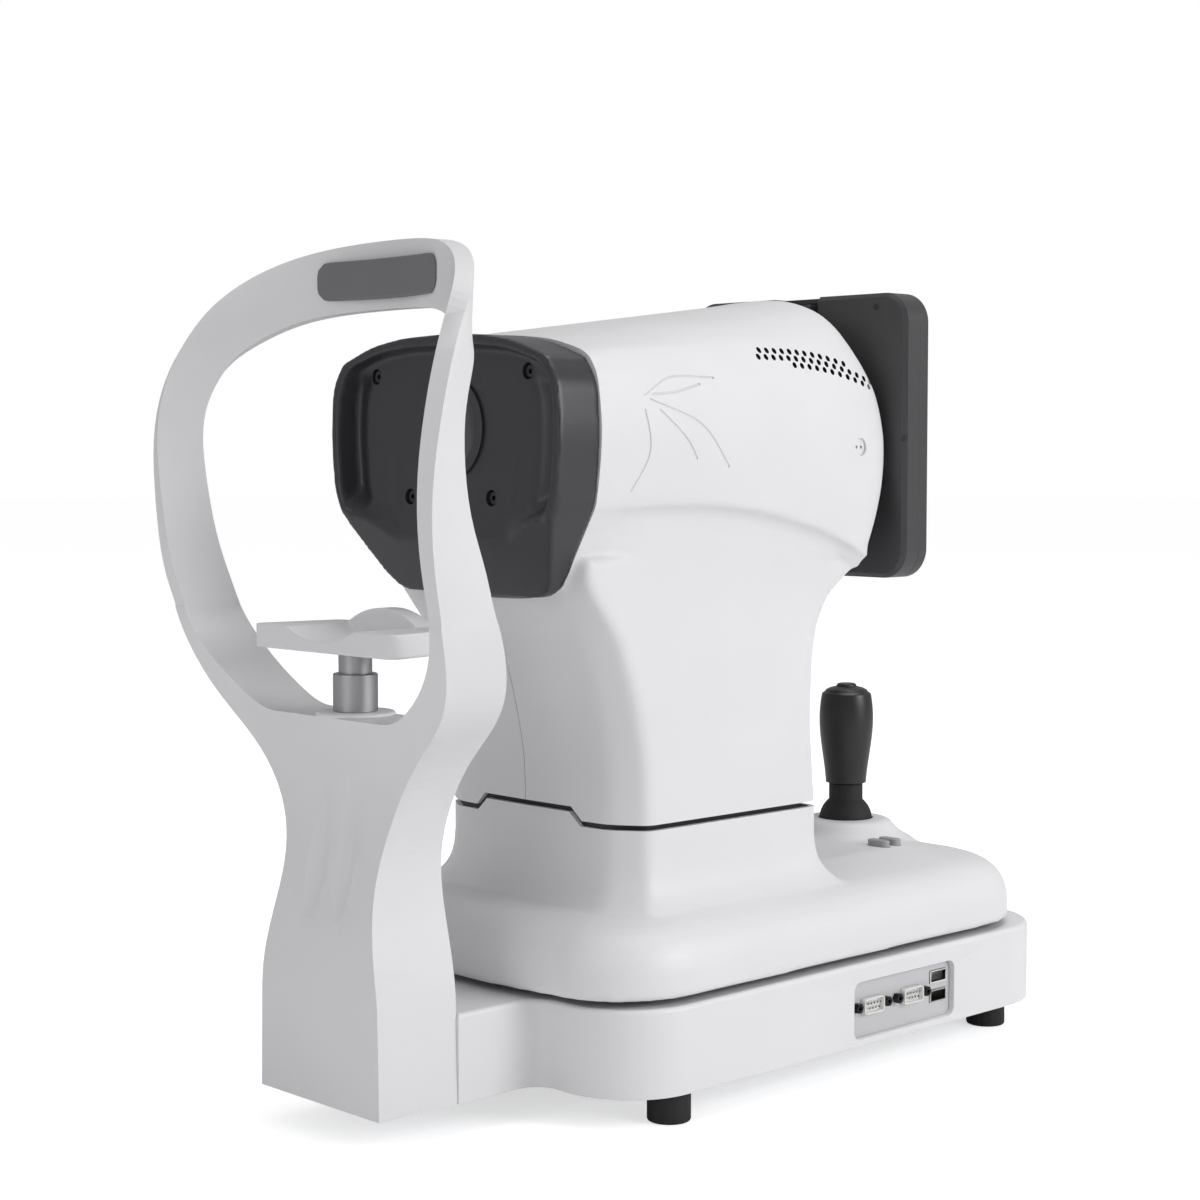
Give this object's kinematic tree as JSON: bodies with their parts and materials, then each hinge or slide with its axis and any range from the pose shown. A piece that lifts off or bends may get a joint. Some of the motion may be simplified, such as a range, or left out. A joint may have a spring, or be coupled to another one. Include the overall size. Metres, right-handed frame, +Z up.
{
  "type": "autorefractor",
  "caption": "Tabletop eye-measuring instrument: chin and forehead rest, joystick-driven measuring head on a lift column, tilting display, and a base with interface ports.",
  "frame": {"origin": "on the table top, at the middle of the footprint's bounding box, on the instrument's plane of symmetry", "axes": "+Z up; +Y from the patient's side towards the operator; +X towards the side with the interface panel, the patient's left"},
  "size_m": [0.2332, 0.4855, 0.445],
  "materials": {
    "shell_white": "fine-textured moulded shell",
    "zinc_sheet": "zinc-plated sheet",
    "rubber_black": "matt rubber",
    "pad_grey": "soft grey silicone",
    "panel_grey": "smooth grey moulding",
    "steel": "bright steel",
    "face_black": "satin black moulding",
    "board_green": "circuit board",
    "connector_black": "black insulator",
    "brass": "machined",
    "aluminium": "machined",
    "button_grey": "matt grey keys",
    "window_glass": "coated glass",
    "lens_glass": "polished",
    "display_dark": "dark grey housing",
    "screen_glass": "black glass"
  },
  "bodies": {
    "base": {"base_shell": "shell_white", "base_plate": "zinc_sheet", "rubber_feet": "rubber_black", "chinrest_frame": "shell_white", "forehead_pad": "pad_grey", "chin_flange": "shell_white", "chin_collar": "panel_grey", "chin_lift_motor": "zinc_sheet", "interface_plate": "panel_grey", "serial_connectors": "zinc_sheet", "jack_screws": "steel", "usb_ports": "zinc_sheet", "interface_board": "board_green", "power_inlet": "connector_black", "power_switch_frame": "connector_black", "power_supply": "zinc_sheet", "gear_racks": "steel"},
    "rocker": {"power_rocker": "connector_black"},
    "chin": {"chin_cup": "face_black", "chin_rod": "steel"},
    "chin_screw": {"chin_lift_screw": "steel"},
    "carriage": {"cross_slide_frame": "aluminium"},
    "axle": {"pinion_axle": "steel", "drive_pinions": "brass"},
    "stage": {"stage_plate": "aluminium", "stage_cover": "shell_white", "column_sleeve": "connector_black", "guide_posts": "steel", "lift_motor": "zinc_sheet", "main_board": "board_green", "joystick_socket": "connector_black"},
    "height_screw": {"lift_screw": "steel"},
    "head": {"head_cover_left": "shell_white", "head_cover_right": "shell_white", "side_plugs": "shell_white", "face_plate": "face_black", "face_plate_screws": "steel", "window_ring": "face_black", "front_window": "window_glass", "led_ring": "board_green", "objective_barrel": "aluminium", "objective_lens": "lens_glass", "optical_bench": "aluminium", "beam_splitter": "aluminium", "camera_module": "connector_black", "fixation_unit": "aluminium", "lift_carriage": "aluminium", "display_bracket": "display_dark"},
    "display": {"display_back": "display_dark", "display_bezel": "display_dark", "lcd_panel": "screen_glass", "display_hinge_pin": "steel"},
    "print_key": {"print_button": "button_grey"},
    "menu_key": {"menu_button": "button_grey"},
    "gimbal": {"gimbal_ring": "brass"},
    "stick": {"joystick_shaft": "steel", "joystick_dome": "rubber_black"},
    "grip": {"joystick_grip": "face_black"},
    "trigger": {"trigger_button": "face_black"}
  },
  "joints": [
    {"name": "power_switch", "type": "hinge", "parent": "base", "child": "rocker", "pos_m": [-0.11118, 0.06999, 0.038], "axis": [0, 0, 1], "range_deg": [-6, 6]},
    {"name": "chin_height", "type": "slide", "parent": "base", "child": "chin", "axis": [0, 0, 1], "range_m": [-0.008, 0.045]},
    {"name": "chin_screw_turn", "type": "hinge", "parent": "base", "child": "chin_screw", "pos_m": [0, -0.1975, 0.1], "axis": [0, 0, 1], "range_deg": [-2720, 500]},
    {"name": "fore_aft", "type": "slide", "parent": "base", "child": "carriage", "axis": [0, 1, 0], "range_m": [-0.02, 0.02]},
    {"name": "pinion_roll", "type": "hinge", "parent": "carriage", "child": "axle", "pos_m": [0, -0.02, 0.044], "axis": [1, 0, 0], "range_deg": [-95, 95]},
    {"name": "lateral", "type": "slide", "parent": "carriage", "child": "stage", "axis": [1, 0, 0], "range_m": [-0.04, 0.04]},
    {"name": "height", "type": "slide", "parent": "stage", "child": "head", "axis": [0, 0, 1], "range_m": [0, 0.03]},
    {"name": "height_screw_turn", "type": "hinge", "parent": "stage", "child": "height_screw", "pos_m": [0, -0.01, 0.15], "axis": [0, 0, 1], "range_deg": [-2720, 0]},
    {"name": "display_tilt", "type": "hinge", "parent": "head", "child": "display", "pos_m": [0, 0.1365, 0.421], "axis": [1, 0, 0], "range_deg": [0, 25]},
    {"name": "print_press", "type": "slide", "parent": "stage", "child": "print_key", "axis": [0, 0, -1], "range_m": [0, 0.0012], "stiffness_N_per_m": 300, "springref_m": -0.0005},
    {"name": "menu_press", "type": "slide", "parent": "stage", "child": "menu_key", "axis": [0, 0, -1], "range_m": [0, 0.0012], "stiffness_N_per_m": 300, "springref_m": -0.0005},
    {"name": "stick_fore_aft", "type": "hinge", "parent": "stage", "child": "gimbal", "pos_m": [0, 0.176, 0.1165], "axis": [1, 0, 0], "range_deg": [-12, 12]},
    {"name": "stick_sideways", "type": "hinge", "parent": "gimbal", "child": "stick", "pos_m": [0, 0.176, 0.1165], "axis": [0, 1, 0], "range_deg": [-12, 12]},
    {"name": "grip_turn", "type": "hinge", "parent": "stick", "child": "grip", "pos_m": [0, 0.176, 0.16], "axis": [0, 0, 1], "range_deg": [-180, 180]},
    {"name": "trigger_press", "type": "slide", "parent": "grip", "child": "trigger", "axis": [0, 0, -1], "range_m": [0, 0.0015], "stiffness_N_per_m": 300, "springref_m": -0.0005}
  ],
  "couplings": [
    {"joint": "pinion_roll", "follows": "fore_aft", "rad_per_m": -80},
    {"joint": "height_screw_turn", "follows": "height", "rad_per_m": -1570.8},
    {"joint": "chin_screw_turn", "follows": "chin_height", "rad_per_m": -1047.2}
  ]
}
